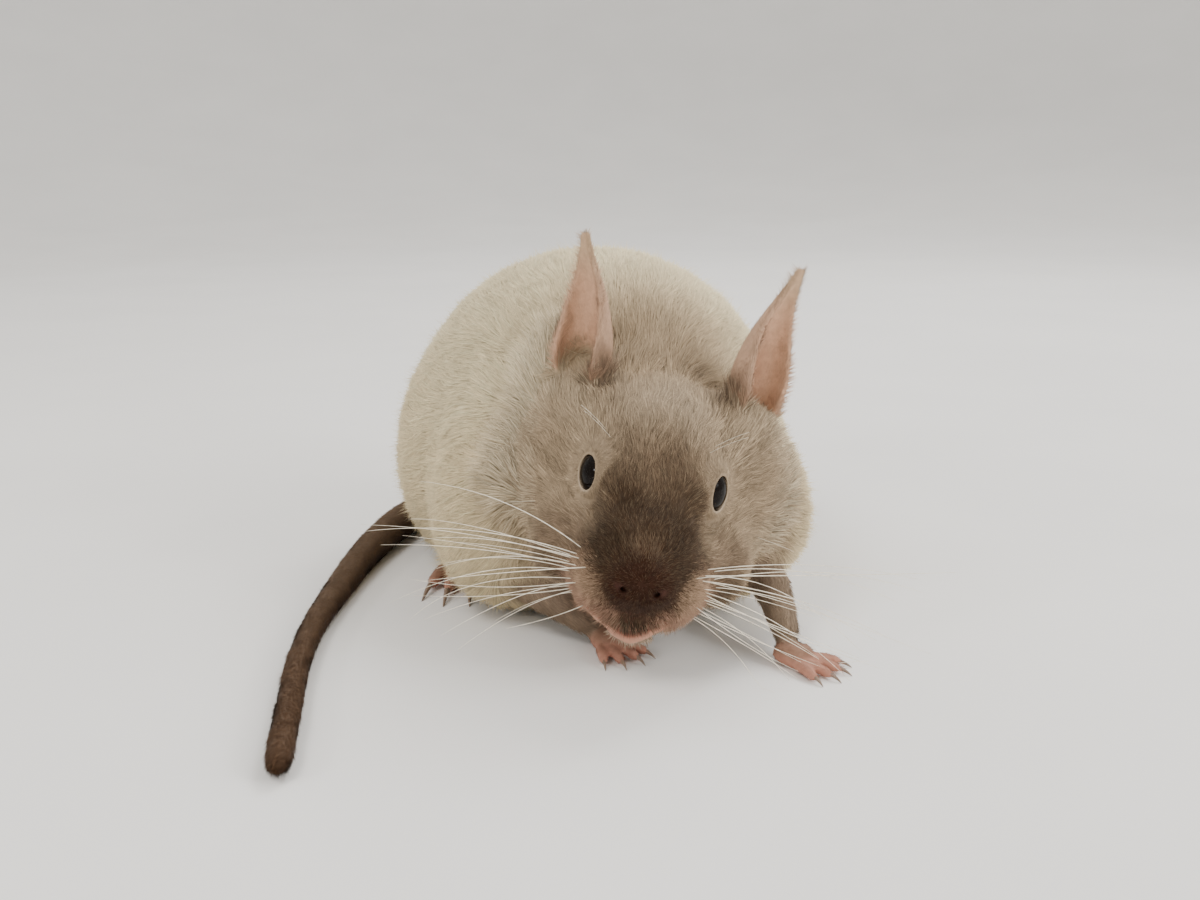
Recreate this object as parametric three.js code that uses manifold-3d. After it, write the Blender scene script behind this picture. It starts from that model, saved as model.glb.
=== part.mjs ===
// A degu, life size and still: it crouches with its head low, one forepaw under its chin, the other
// spread to its left, and its tail laid forward along its right side.
// Millimetres, +Z up. The animal faces -Y, its left side is +X, and it rests on the plane z = 0.
import * as THREE from "three";
import { mergeVertices } from "three/addons/utils/BufferGeometryUtils.js";
import Module from "manifold-3d";

const wasm = await Module();
wasm.setup();

// Driving dimensions
const GAP = 0.3; // kept between parts that touch
const BODY_LENGTH = 100; // chest to rump as it crouches
const BODY_WIDTH = 82; // across the flanks
const BODY_HEIGHT = 68; // floor to the top of the back
const BODY_YAW = 8; // degrees that the rump swings to the animal's right
const CHEEK_WIDTH = 52;
const EYE_RADIUS = 4.5;
const EYE_SPREAD = 16.6; // between the centres of the eyeballs
const EAR_LENGTH = 35; // from its buried root to its tip
const EAR_WIDTH = 20; // measured flat
const EAR_THICKNESS = 1.3;
const TAIL_LENGTH = 161;
const TAIL_ROOT_RADIUS = 4.6;
const TAIL_END_RADIUS = 2.5;
const HIND_FOOT = {
  length: 35, width: 8, height: 6, toes: 4, toeLength: 12, toeRadius: 1.35, splay: 0.45,
};
const FOREPAW = {
  length: 13, width: 5.8, height: 4.2, toes: 4, toeLength: 5.8, toeRadius: 0.9, splay: 0.8,
};
const WHISKER_LENGTH = 50; // the longest, at the back of the top row
const WHISKER_RADIUS = 0.3;

// The head hangs from this frame: its origin lies midway between the eyes.
const HEAD_AT = [9.2, -42, 33];
const HEAD_TURN = [18, 9, -2]; // nose down, left side down, nose to the right, in degrees

const FUR = { color: 0xb8ab97, roughness: 0.95, metalness: 0 };
const FACE_FUR = { color: 0x8f8171, roughness: 0.95, metalness: 0 };
const EAR_SKIN = { color: 0xb08a78, roughness: 0.7, metalness: 0 };
const PAW_SKIN = { color: 0xa08a7c, roughness: 0.75, metalness: 0 };
const TAIL_FUR = { color: 0x7d6c5b, roughness: 0.95, metalness: 0 };
const EYE_GLOSS = { color: 0x0c0a09, roughness: 0.08, metalness: 0 };

const root = new THREE.Group();
const LEFT = 1;
const RIGHT = -1;
const sideName = (side) => (side === LEFT ? "left" : "right");
const vector = (p) => new THREE.Vector3(...p);
const { degToRad, smoothstep, lerp } = THREE.MathUtils;

// Places and frames

// Turns are about X, then Y, then Z.
function frame(at, turn = [0, 0, 0], size = [1, 1, 1]) {
  const euler = new THREE.Euler(...turn.map(degToRad), "ZYX");
  return new THREE.Matrix4().compose(
    vector(at), new THREE.Quaternion().setFromEuler(euler), vector(size));
}
const WORLD = new THREE.Matrix4();
const HEAD = frame(HEAD_AT, HEAD_TURN);
const BODY = frame([1.2, 0, 0], [0, 0, BODY_YAW]);
const inFrame = (parent, at, turn, size) => parent.clone().multiply(frame(at, turn, size));

// A direction for a piece whose own long axis is +Z.
function aimed(at, towards) {
  const turn = new THREE.Quaternion().setFromUnitVectors(
    vector([0, 0, 1]), vector(towards).normalize());
  return new THREE.Matrix4().compose(vector(at), turn, vector([1, 1, 1]));
}

// Solids

function closed(geometry) {
  geometry.deleteAttribute("normal");
  geometry.deleteAttribute("uv");
  return mergeVertices(geometry, 1e-4);
}

function solid(geometry, place = WORLD) {
  const merged = closed(geometry.clone().applyMatrix4(place));
  return new wasm.Manifold(new wasm.Mesh({
    numProp: 3,
    vertProperties: merged.attributes.position.array,
    triVerts: new Uint32Array(merged.index.array),
  }));
}

function largest(made) {
  return made.decompose().sort((a, b) => b.volume() - a.volume())[0];
}

function joined(pieces) {
  return pieces.reduce((whole, piece) => whole.add(piece));
}

function cutBy(made, tools) {
  return tools.reduce((whole, tool) => whole.subtract(tool), made);
}

function addNode(name, made, finish) {
  const mesh = largest(made).getMesh();
  const geometry = new THREE.BufferGeometry();
  geometry.setAttribute("position", new THREE.BufferAttribute(mesh.vertProperties, 3));
  geometry.setIndex(new THREE.BufferAttribute(mesh.triVerts, 1));
  geometry.computeVertexNormals();
  const node = new THREE.Mesh(geometry, new THREE.MeshStandardMaterial(finish));
  node.name = name;
  root.add(node);
}

// Moves every vertex of a geometry to shape(its position).
function reshaped(geometry, shape) {
  const source = closed(geometry);
  const position = source.attributes.position;
  const from = new THREE.Vector3();
  for (let i = 0; i < position.count; i += 1) {
    from.fromBufferAttribute(position, i);
    position.setXYZ(i, ...shape(from).toArray());
  }
  return source;
}

const ball = (radii, place, across = 16, around = 12) =>
  solid(new THREE.SphereGeometry(1, across, around), place.clone().scale(vector(radii)));

const curveThrough = (points) => (
  new THREE.CatmullRomCurve3(points.map(vector), false, "centripetal"));

// A tube along the stretch from-to of a curve. Its radius is radiusAt(share of the whole curve), and flat
// times that upwards. With crowd over 1 its rings stand closer towards the end.
function tubeAlong(curve, radiusAt, sides, steps, options = {}) {
  const { flat = 1, place = WORLD, from = 0, to = 1, crowd = 1 } = options;
  const cylinder = new THREE.CylinderGeometry(1, 1, 1, sides, steps);
  const up = new THREE.Vector3();
  return solid(reshaped(cylinder, ({ x, y, z }) => {
    const share = lerp(from, to, 1 - (0.5 + y) ** crowd);
    const along = curve.getTangentAt(share);
    const across = new THREE.Vector3(0, 0, 1).cross(along).normalize();
    up.crossVectors(along, across);
    const radius = radiusAt(share);
    return curve.getPointAt(share).addScaledVector(across, radius * x)
      .addScaledVector(up, radius * z * flat);
  }), place);
}
const tube = (points, radiusAt, sides, steps, flat = 1, place = WORLD) => (
  tubeAlong(curveThrough(points), radiusAt, sides, steps, { flat, place }));

// Rounds the ends of a tube that tapers from one radius to another.
const roundEnded = (first, last, cap = 0.12) => (share) => {
  const nearest = Math.min(share, 1 - share) / cap;
  const rounding = nearest >= 1 ? 1 : Math.sqrt(Math.max(1 - (1 - nearest) ** 2, 0));
  return Math.max(lerp(first, last, share) * rounding, 0.05);
};

// The body's form, as a blend of rounded lumps

const lump = (at, radii, turn, parent = WORLD) => ({
  inverse: inFrame(parent, at, turn).invert(),
  radii: vector(radii),
});

const local = new THREE.Vector3();
function depthIn({ inverse, radii }, point) {
  local.copy(point).applyMatrix4(inverse).divide(radii);
  const reach = local.length();
  const slope = local.divide(radii).length();
  return slope < 1e-9 ? -radii.x : (reach * (reach - 1)) / slope;
}

function blend(a, b, width) {
  const share = Math.max(width - Math.abs(a - b), 0) / width;
  return Math.min(a, b) - (share * share * width) / 4;
}

const blended = (lumps, width, point) =>
  lumps.reduce((depth, each) => blend(depth, depthIn(each, point), width), Infinity);

const bothSides = (make) => [make(LEFT), make(RIGHT)];

const bodyLumps = [
  // rump
  lump([0, 25, 34], [BODY_WIDTH * 0.46, BODY_LENGTH * 0.35, BODY_HEIGHT * 0.5], [0, 0, 0], BODY),
  // back
  lump([0, 6, 34], [BODY_WIDTH * 0.44, BODY_LENGTH * 0.33, BODY_HEIGHT * 0.49], [0, 0, 0], BODY),
  // ribs
  lump([1, -12, 24], [BODY_WIDTH * 0.37, 20, 22], [0, 0, 0], BODY),
  // belly
  lump([0, 6, 19], [BODY_WIDTH * 0.39, BODY_LENGTH * 0.42, 19.5], [0, 0, 0], BODY),
  // thighs
  ...bothSides((side) => lump([side * 28, 26, 21], [15, 26, 21], [12, 0, side * 4], BODY)),
  // left shoulder, raised over the spread arm
  lump([28, -17, 20], [13.5, 15, 16]),
  // right shoulder
  lump([-20, -18, 17], [11, 13, 14.5]),
  // nape
  lump([6, -18, 33], [20, 15, 16]),
];
const headLumps = [
  // skull
  lump([0, 11, 0.5], [14, 18, 12.5], [0, 0, 0], HEAD),
  // bridge of the snout
  lump([0, -6.5, -5.8], [9.2, 15, 9], [-8, 0, 0], HEAD),
  // nose
  lump([0, -18, -7.2], [4.6, 5, 4.6], [0, 0, 0], HEAD),
  // chin
  lump([0, -10.5, -14.6], [7, 8.5, 6], [0, 0, 0], HEAD),
  // cheeks, and the jaw muscles that lead from them to the snout
  ...bothSides((side) => lump([side * CHEEK_WIDTH * 0.24, 14.5, -8.5], [CHEEK_WIDTH * 0.26, 13.5, 15],
    [0, 0, side * 10], HEAD)),
  ...bothSides((side) => lump([side * 9.6, 3, -12.4], [9.4, 14.5, 9.4], [0, 0, side * 20], HEAD)),
  // whisker pads
  ...bothSides((side) => lump([side * 5.6, -13, -11], [5.6, 7, 5.8], [0, 0, side * 16], HEAD)),
  // brows
  ...bothSides((side) => lump([side * 5.2, 0, 2.6], [4.4, 8, 3.6], [0, 0, side * 12], HEAD)),
  // roots of the ears
  ...bothSides((side) => lump([side * 14.5, 16.5, 4], [6, 6.5, 6], [0, 0, 0], HEAD)),
];

const BODY_BLEND = 12;
const HEAD_BLEND = 5;
const bodyDepth = (point) => blended(bodyLumps, BODY_BLEND, point);
const headDepth = (point) => blended(headLumps, HEAD_BLEND, point);

const MARCH_STEP = 1.5;
const HALVINGS = 12;
// A closed skin round a centre: each vertex of a sphere goes out along its ray to the edge of the form,
// or grow further.
function wrapped({ depth, centre, radii, detail }, grow = 0) {
  const sphere = new THREE.IcosahedronGeometry(1, detail);
  const ray = new THREE.Vector3();
  const at = (distance) => centre.clone().addScaledVector(ray, distance);
  return solid(reshaped(sphere, (from) => {
    ray.copy(from).multiply(vector(radii)).normalize();
    let far = MARCH_STEP;
    while (depth(at(far)) < grow) far += MARCH_STEP;
    let near = far - MARCH_STEP;
    for (let i = 0; i < HALVINGS; i += 1) {
      const half = (near + far) / 2;
      if (depth(at(half)) < grow) near = half;
      else far = half;
    }
    return at(near);
  }));
}
const bodyForm = { depth: bodyDepth, centre: vector([-1, 8, 30]), radii: [44, 52, 34], detail: 8 };
const headShape = {
  depth: headDepth, centre: vector([0, 1, -3]).applyMatrix4(HEAD), radii: [24, 26, 18], detail: 11,
};

// Cells that part the form

const HUGE = 400;
const floorBlock = solid(new THREE.BoxGeometry(HUGE, HUGE, HUGE).translate(0, 0, -HUGE / 2));
const thighCell = (grow, side) => ball([15 + grow, 27 + grow, 22 + grow],
  inFrame(BODY, [side * 34, 26, 18], [12, 0, side * 4]), 20, 12);
const neckCell = (grow) => solid(new THREE.CylinderGeometry(21 + grow, 23 + grow, 22 + 2 * grow, 20),
  frame([7.5, -22, 35], [-24, 0, 0]));

// Torso, thighs and neck

const bodySolid = wrapped(bodyForm);
const bodyGrown = wrapped(bodyForm, GAP);
const headGrown = wrapped(headShape, GAP);
const torso = cutBy(bodySolid,
  [thighCell(GAP, LEFT), thighCell(GAP, RIGHT), neckCell(GAP), headGrown, floorBlock]);
addNode("torso", torso, FUR);
for (const side of [LEFT, RIGHT]) {
  addNode(`thigh_${sideName(side)}`,
    cutBy(bodySolid.intersect(thighCell(0, side)), [floorBlock]), FUR);
}
addNode("neck", cutBy(bodySolid.intersect(neckCell(0)), [headGrown, floorBlock]), FUR);

// Head

const eyePlace = (side) => inFrame(HEAD, [side * EYE_SPREAD / 2, 0, 0.5]);
const EYE_FACES = [0.88, -0.42, 0.2]; // the way the left eye looks, in the head's frame
const LID_RADIUS = 3.7;
const LID_THICKNESS = 0.75;
const LID_OUT = Math.sqrt((EYE_RADIUS + GAP + LID_THICKNESS * 0.4) ** 2 - LID_RADIUS ** 2);

function lidRing(side) {
  const faces = [side * EYE_FACES[0], EYE_FACES[1], EYE_FACES[2]];
  const centre = [side * EYE_SPREAD / 2, 0, 0.5];
  const at = vector(centre).addScaledVector(vector(faces).normalize(), LID_OUT).toArray();
  return solid(new THREE.TorusGeometry(LID_RADIUS, LID_THICKNESS, 7, 20),
    HEAD.clone().multiply(aimed(at, faces)));
}

const socket = (side) => ball(
  [EYE_RADIUS + GAP, EYE_RADIUS + GAP, EYE_RADIUS + GAP], eyePlace(side), 20, 14);

// The window that the lids leave open over the eyeball.
function lidWindow(side) {
  const faces = [side * EYE_FACES[0], EYE_FACES[1], EYE_FACES[2]];
  const centre = [side * EYE_SPREAD / 2, 0, 0.5];
  const window = new THREE.CylinderGeometry(LID_RADIUS + 0.4, LID_RADIUS - 0.5, 6, 20)
    .rotateX(Math.PI / 2).translate(0, 0, LID_OUT + 2.4);
  return solid(window, HEAD.clone().multiply(aimed(centre, faces)));
}

const MOUTH_WIDTH = 12;
const MOUTH_LINE = [-1, -0.6, 0, 0.6, 1].map((share) => [
  share * MOUTH_WIDTH / 2, -19 + 8 * share * share, -16 + 1.6 * share * share]);
const mouthGroove = tube(MOUTH_LINE, roundEnded(0.55, 0.55), 6, 12, 1, HEAD);
const lowerLip = tube(MOUTH_LINE.map(([x, y, z]) => [x * 0.9, y + 1.2, z - 1.9]),
  roundEnded(1.7, 1.7, 0.25), 8, 10, 0.9, HEAD);
const nostril = (side) => tube(
  [[side * 1.5, -24.6, -6.2], [side * 2.6, -22, -6.4], [side * 3.8, -19.6, -5.2]],
  roundEnded(0.7, 1), 8, 6, 1.3, HEAD);
const philtrum = tube([[0, -24, -8.6], [0, -22.5, -11], [0, -21, -15]],
  roundEnded(0.5, 0.6), 6, 6, 1, HEAD);
const nosePad = ball([3.9, 2.6, 3.2], inFrame(HEAD, [0, -20.9, -6.6], [-14, 0, 0]), 16, 10);

// Whiskers: the longest of each side, as thin spines that spring from the pads and droop

const WHISKER_ROWS = 4;
const WHISKER_COLUMNS = 2;
const WHISKER_STAGGER = 0.4; // of a column, on every second row
const WHISKER_DROOP = 0.1; // of the length, at the tip
function whisker(side, down, back) {
  const root = vector([side * (8.6 + 1.4 * back - 1.6 * down), -16 + 4.4 * back, -8 - 6 * down]);
  const way = vector([side, -0.42 + 0.6 * back, 0.26 - 0.46 * down]).transformDirection(HEAD);
  const length = WHISKER_LENGTH * (0.6 + 0.4 * back) * (1 - 0.3 * down);
  const start = root.applyMatrix4(HEAD).addScaledVector(way, -1.5);
  const points = [0, 0.2, 0.45, 0.7, 1].map((share) => {
    const at = start.clone().addScaledVector(way, length * share);
    at.z -= WHISKER_DROOP * length * share * share;
    return at.toArray();
  });
  return tube(points, (share) => WHISKER_RADIUS * (1 - 0.6 * share), 4, 4);
}
const whiskers = [];
for (const side of [LEFT, RIGHT]) {
  for (let row = 0; row < WHISKER_ROWS; row += 1) {
    for (let column = 0; column < WHISKER_COLUMNS; column += 1) {
      const back = (column + WHISKER_STAGGER * (row % 2)) / (WHISKER_COLUMNS - 1 + WHISKER_STAGGER);
      whiskers.push(whisker(side, row / (WHISKER_ROWS - 1), back));
    }
  }
}

const headSolid = cutBy(
  joined([wrapped(headShape), lowerLip, nosePad, ...whiskers]),
  [lidWindow(LEFT), lidWindow(RIGHT)]);
const head = cutBy(joined([headSolid, lidRing(LEFT), lidRing(RIGHT)]),
  [socket(LEFT), socket(RIGHT), mouthGroove, philtrum, nostril(LEFT), nostril(RIGHT), floorBlock]);
addNode("head", head, FACE_FUR);
for (const side of [LEFT, RIGHT]) {
  addNode(`eye_${sideName(side)}`,
    ball([EYE_RADIUS, EYE_RADIUS, EYE_RADIUS], eyePlace(side), 16, 10), EYE_GLOSS);
}

// Ears: a rolled cup that ends in a narrow tip

const EAR_ROOT = [15.5, 14, 0.3];
const EAR_TURN = { left: [-26, 7, 42], right: [-26, 4, 42] }; // back, out, and open to the side
const earWidth = (share) => EAR_WIDTH * (
  lerp(0.76, 1, smoothstep(share, 0, 0.4)) * (1 - 0.94 * smoothstep(share, 0.34, 1.04)));
const earRoll = (share) => degToRad(lerp(112, 62, smoothstep(share, 0.2, 1)));

function ear(side) {
  const sheet = new THREE.BoxGeometry(1, 1, 1, 12, 12, 1);
  const shape = ({ x, y, z }) => {
    const share = y + 0.5;
    const roll = earRoll(share);
    const angle = -2 * x * roll;
    const thickness = EAR_THICKNESS * (1 - 0.35 * Math.abs(2 * x) ** 3) * (1 - 0.3 * share);
    const radius = earWidth(share) / (2 * roll) + z * thickness;
    const lean = 2.2 * share * share;
    return new THREE.Vector3(
      radius * Math.sin(angle), radius * Math.cos(angle) - lean, share * EAR_LENGTH);
  };
  const [back, out, open] = EAR_TURN[sideName(side)];
  const place = inFrame(HEAD, [side * EAR_ROOT[0], EAR_ROOT[1], EAR_ROOT[2]], [back, side * out, 0])
    .multiply(frame([0, 0, 0], [0, 0, side * open]));
  return solid(reshaped(sheet, shape), place);
}

for (const side of [LEFT, RIGHT]) {
  addNode(`ear_${sideName(side)}`, cutBy(ear(side), [headGrown, bodyGrown]), EAR_SKIN);
}

// Limbs

function claw(at, towards, length, radius) {
  const points = [0, 0.4, 0.75, 1].map((share) => [
    at[0] + towards[0] * length * share, at[1] + towards[1] * length * share,
    at[2] - length * 0.45 * share * share]);
  return tube(points, (share) => Math.max(radius * (1 - share), 0.08), 6, 3);
}

// A foot seen from its own frame: it lies along -Y with its toes ahead, and its sole on z = 0.
function foot({ length, width, height, toes, toeLength, toeRadius, splay, grow, place }) {
  const palm = length - toeLength;
  const sole = tube([[0, 0, height * 0.62], [0, -palm * 0.5, height * 0.5], [0, -palm, height * 0.42]],
    roundEnded(width * 0.44 + grow, width * 0.54 + grow, 0.3), 10, 7, height / width);
  const pieces = [sole];
  for (let i = 0; i < toes; i += 1) {
    const spread = (i - (toes - 1) / 2) / (toes - 1);
    const reach = (toeLength + palm * 0.28) * (1 - 0.7 * spread * spread);
    const way = [Math.sin(spread * splay), -Math.cos(spread * splay), 0];
    const base = [spread * width * 0.72, -palm * 0.72, toeRadius * 1.3];
    const knuckle = [base[0] + way[0] * reach * 0.5, base[1] + way[1] * reach * 0.5, toeRadius * 1.5];
    const tip = [base[0] + way[0] * reach, base[1] + way[1] * reach, toeRadius * 0.9];
    pieces.push(tube([base, knuckle, tip],
      roundEnded(toeRadius + grow, toeRadius * 0.85 + grow, 0.2), 6, 5));
    pieces.push(claw([tip[0] - way[0], tip[1] - way[1], toeRadius * 1.15], way, toeLength * 0.42,
      toeRadius * 0.5 + grow));
  }
  return joined(pieces).transform(place.toArray());
}

const hindFoot = (side) => foot({
  ...HIND_FOOT, grow: 0, place: inFrame(BODY, [side * 27, 28, 0], [0, 0, side * 7]),
});
const forePaw = ({ at, turn }, grow) => foot({ ...FOREPAW, grow, place: frame(at, [0, 0, turn]) });

const ARMS = {
  left: {
    points: [[27, -20, 14], [31.5, -31, 11], [34, -43.4, 2.8]], paw: { at: [31.5, -41.5, 0], turn: 52 },
  },
  right: {
    points: [[-17, -20, 14], [-13, -28, 10], [1, -36, 2.8]], paw: { at: [-0.8, -33, 0], turn: 30 },
  },
};
const soft = [bodyGrown, headGrown, floorBlock];
for (const [name, { points, paw }] of Object.entries(ARMS)) {
  const forearm = tube(points, roundEnded(5.6, 3, 0.12), 10, 9);
  addNode(`forearm_${name}`, cutBy(forearm, [...soft, forePaw(paw, GAP)]), FUR);
  addNode(`forepaw_${name}`, cutBy(forePaw(paw, 0), soft), PAW_SKIN);
}
for (const side of [LEFT, RIGHT]) {
  addNode(`hindfoot_${sideName(side)}`,
    cutBy(hindFoot(side), [bodyGrown, floorBlock]), PAW_SKIN);
}

// Tail, in three lengths

const TAIL_HEIGHT = TAIL_END_RADIUS - 0.25;
const TAIL_PATH = curveThrough([
  [-15, 45, 12], [-30, 50, 6], [-42, 40, 4.2], [-49, 20, 3.6], [-53, -10, TAIL_HEIGHT],
  [-53.5, -40, TAIL_HEIGHT], [-50, -68, TAIL_HEIGHT], [-47, -88, TAIL_HEIGHT],
]);
const TAIL_BLUNT = 0.96; // where the end starts to round off
function tailRadius(share) {
  const past = Math.max(share - TAIL_BLUNT, 0) / (1 - TAIL_BLUNT);
  const rounding = Math.sqrt(Math.max(1 - past ** 3, 0.02));
  return lerp(TAIL_ROOT_RADIUS, TAIL_END_RADIUS, smoothstep(share, 0, 0.8)) * rounding;
}
["tail_base", "tail_middle", "tail_end"].forEach((name, i, names) => {
  const length = tubeAlong(TAIL_PATH, tailRadius, 10, 9, {
    from: i / names.length + (i ? GAP / TAIL_LENGTH : 0), to: (i + 1) / names.length,
    crowd: i === names.length - 1 ? 2 : 1,
  });
  addNode(name, cutBy(length, [bodyGrown, floorBlock]), TAIL_FUR);
});

export default root;
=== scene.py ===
"""A degu, life size and still: its skin, coat, eyes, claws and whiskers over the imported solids,
on a plain pale floor. Metres, +Z up. The animal faces -Y, and its left side is +X."""

import math
from collections import namedtuple

import bmesh
import bpy
import numpy as np
from mathutils import Euler, Matrix, Vector
from mathutils.bvhtree import BVHTree


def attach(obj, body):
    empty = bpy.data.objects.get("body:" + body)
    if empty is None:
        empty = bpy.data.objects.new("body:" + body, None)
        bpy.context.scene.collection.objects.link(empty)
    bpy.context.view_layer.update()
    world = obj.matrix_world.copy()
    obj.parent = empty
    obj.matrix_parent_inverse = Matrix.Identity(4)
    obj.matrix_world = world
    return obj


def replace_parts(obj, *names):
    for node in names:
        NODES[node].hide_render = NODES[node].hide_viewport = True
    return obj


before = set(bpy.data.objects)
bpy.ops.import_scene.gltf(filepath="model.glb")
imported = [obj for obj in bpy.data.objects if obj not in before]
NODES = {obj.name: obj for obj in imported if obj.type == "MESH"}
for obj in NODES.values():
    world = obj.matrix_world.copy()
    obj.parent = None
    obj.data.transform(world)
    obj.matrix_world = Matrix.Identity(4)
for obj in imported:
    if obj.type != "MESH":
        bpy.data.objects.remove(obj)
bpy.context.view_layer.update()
MM = 0.001
BODY = "root"
LEFT, RIGHT = 1, -1
SIDES = ((LEFT, "left"), (RIGHT, "right"))

# The head's frame has its origin between the eyes. Its place is in millimetres, its turn in degrees.
HEAD_AT = (9.2, -42, 33)
HEAD_TURN = (18, 9, -2)
EYE_RADIUS = 4.5
EYE_SPREAD = 16.6
EYE_HEIGHT = 0.5
EYE_FACES = (0.88, -0.42, 0.2)  # the way the left eye looks
EYE_SHOWN = 4.65  # half of the solids' gap between eyeball and lids is filled


def placed(at, turn=(0, 0, 0)):
    """The frame at a point in millimetres, turned about X, then Y, then Z, in degrees."""
    return Matrix.LocRotScale(
        Vector(at) * MM, Euler([math.radians(t) for t in turn], "XYZ"), (1, 1, 1))


HEAD = placed(HEAD_AT, HEAD_TURN)


def in_head(points):
    """World points in metres, as millimetres in the head's frame."""
    inverse = np.array(HEAD.inverted())
    return (points @ inverse[:3, :3].T + inverse[:3, 3]) / MM


def from_head(points):
    """Millimetres in the head's frame, as world points in metres."""
    matrix = np.array(HEAD)
    return (np.asarray(points, float) * MM) @ matrix[:3, :3].T + matrix[:3, 3]


def turned_by_head(directions):
    """Directions in the head's frame, as world directions."""
    return np.asarray(directions, float) @ np.array(HEAD)[:3, :3].T


def eye_centre(side=LEFT):
    """The middle of an eyeball in the head's frame."""
    return np.array([side * EYE_SPREAD / 2, 0, EYE_HEIGHT])


EAR_LENGTH = 35
EAR_WIDTH = 20
EAR_ROOT = (15.5, 14, 0.3)
EAR_TURNS = {LEFT: (-26, 7, 42), RIGHT: (-26, -4, -42)}  # back, out, and open to the side
EAR_LEAN = 2.2  # how far the tip bends back
EAR_ROLL = 112  # degrees from the cup's middle to its edge, at the root
EAR_UNROLL = 50  # by how much less at the tip
EAR_NARROW = 0.76  # share of the full width at the root
EAR_TAPER = 0.94  # share of the width that is lost by the tip
EAR_PLACES = {side: HEAD @ placed((side * EAR_ROOT[0], *EAR_ROOT[1:]), (back, out, 0))
              @ placed((0, 0, 0), (0, 0, opened)) for side, (back, out, opened) in EAR_TURNS.items()}


# Small sums on arrays

def unit(vectors):
    """Vectors, made one long."""
    return vectors / np.maximum(np.linalg.norm(vectors, axis=-1, keepdims=True), 1e-9)


def step(values, low, high):
    """0 below low, 1 above high, and smooth between them."""
    share = np.clip((values - low) / (high - low), 0, 1)
    return share * share * (3 - 2 * share)


def bump(points, centre, radii):
    """1 at the centre of an ellipsoid, falling smoothly to 0 at its edge."""
    reach = np.linalg.norm((points - np.array(centre)) / np.array(radii), axis=-1)
    return 1 - step(reach, 0, 1)


def mixed(a, b, share):
    """Rows of a that turn into b by a share for each row."""
    share = np.asarray(share)[..., None]
    return a * (1 - share) + b * share


def waves(points, size, seed, count=9):
    """A smooth random field, about -1 to 1, whose humps are about size across."""
    rng = np.random.default_rng(seed)
    field = np.zeros(len(points))
    for _ in range(count):
        way = unit(rng.normal(size=3)) * rng.uniform(0.6, 1.5) * 2 * math.pi / (2 * size)
        field += np.sin(points @ way + rng.uniform(0, 2 * math.pi))
    return field / math.sqrt(count)


def in_ear_cup(points):
    """For world points: the share of the ear's length, -1 to 1 across its cup, and how far inside."""
    share, across, inside = np.zeros((3, len(points)))
    left = in_head(points)[:, 0] > 0
    for side, chosen in ((LEFT, left), (RIGHT, ~left)):
        inverse = np.array(EAR_PLACES[side].inverted())
        x, y, z = ((points[chosen] @ inverse[:3, :3].T + inverse[:3, 3]) / MM).T
        up = np.clip(z / EAR_LENGTH, 0, 1)
        y = y + EAR_LEAN * up ** 2
        roll = np.radians(EAR_ROLL - EAR_UNROLL * step(up, 0.2, 1))
        width = EAR_WIDTH * (EAR_NARROW + (1 - EAR_NARROW) * step(up, 0, 0.4))
        width *= 1 - EAR_TAPER * step(up, 0.34, 1.04)
        share[chosen] = up
        across[chosen] = np.clip(np.arctan2(x, y) / roll, -1, 1)
        inside[chosen] = step(width / (2 * roll) - np.hypot(x, y), -0.3, 0.5)
    return share, across, inside


def srgb(red, green, blue):
    """An sRGB colour, 0 to 255, as linear values."""
    values = np.array([red, green, blue]) / 255
    return np.where(values <= 0.04045, values / 12.92, ((values + 0.055) / 1.055) ** 2.4)


def new_in_scene(name, data):
    """A new object with this data, linked to the scene."""
    piece = bpy.data.objects.new(name, data)
    bpy.context.scene.collection.objects.link(piece)
    return piece


# Camera, at the photograph's viewing angle

IMAGE_WIDTH = 1200
FOCAL_PIXELS = 1300
SENSOR = 36
CAMERA_AT = (0, -0.2598, 0.0934)
CAMERA_PITCH = 14
CLIP_START = 0.005


def make_camera():
    data = bpy.data.cameras.new("camera")
    data.sensor_width = SENSOR
    data.lens = FOCAL_PIXELS / IMAGE_WIDTH * SENSOR
    data.clip_start = CLIP_START
    camera = new_in_scene("camera", data)
    camera.location = CAMERA_AT
    camera.rotation_euler = (math.radians(90 - CAMERA_PITCH), 0, 0)
    bpy.context.scene.camera = camera


# Materials

PORE_DEPTH = 0.12 * MM
PORE_STRENGTH = 0.6
EYE_BROWN = (0.006, 0.0042, 0.0034)


def new_material(name, **sockets):
    material = bpy.data.materials.new(name)
    material.use_nodes = True
    shader = material.node_tree.nodes["Principled BSDF"]
    for socket, value in sockets.items():
        shader.inputs[socket.replace("_", " ")].default_value = value
    return material, material.node_tree, shader


def add(tree, kind, **settings):
    node = tree.nodes.new(kind)
    for name, value in settings.items():
        setattr(node, name, value)
    return node


def noise_on_object(tree, scale, detail):
    place = add(tree, "ShaderNodeTexCoord")
    noise = add(tree, "ShaderNodeTexNoise")
    noise.inputs["Scale"].default_value = scale
    noise.inputs["Detail"].default_value = detail
    tree.links.new(place.outputs["Object"], noise.inputs["Vector"])
    return noise.outputs["Fac"]


def ranged(tree, value, low, high, out_low, out_high):
    node = add(tree, "ShaderNodeMapRange")
    for socket, number in zip(("From Min", "From Max", "To Min", "To Max"),
                              (low, high, out_low, out_high)):
        node.inputs[socket].default_value = number
    tree.links.new(value, node.inputs["Value"])
    return node.outputs["Result"]


def mottled(tree, scale, detail, dark, light, low=0.3, high=0.7):
    """Grey factors, dark to light, that follow a fine noise on the object."""
    return ranged(tree, noise_on_object(tree, scale, detail), low, high, dark, light)


def product(tree, colour, factor):
    """A colour times a grey factor."""
    node = add(tree, "ShaderNodeVectorMath", operation="SCALE")
    tree.links.new(colour, node.inputs["Vector"])
    tree.links.new(factor, node.inputs["Scale"])
    return node.outputs["Vector"]


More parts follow.
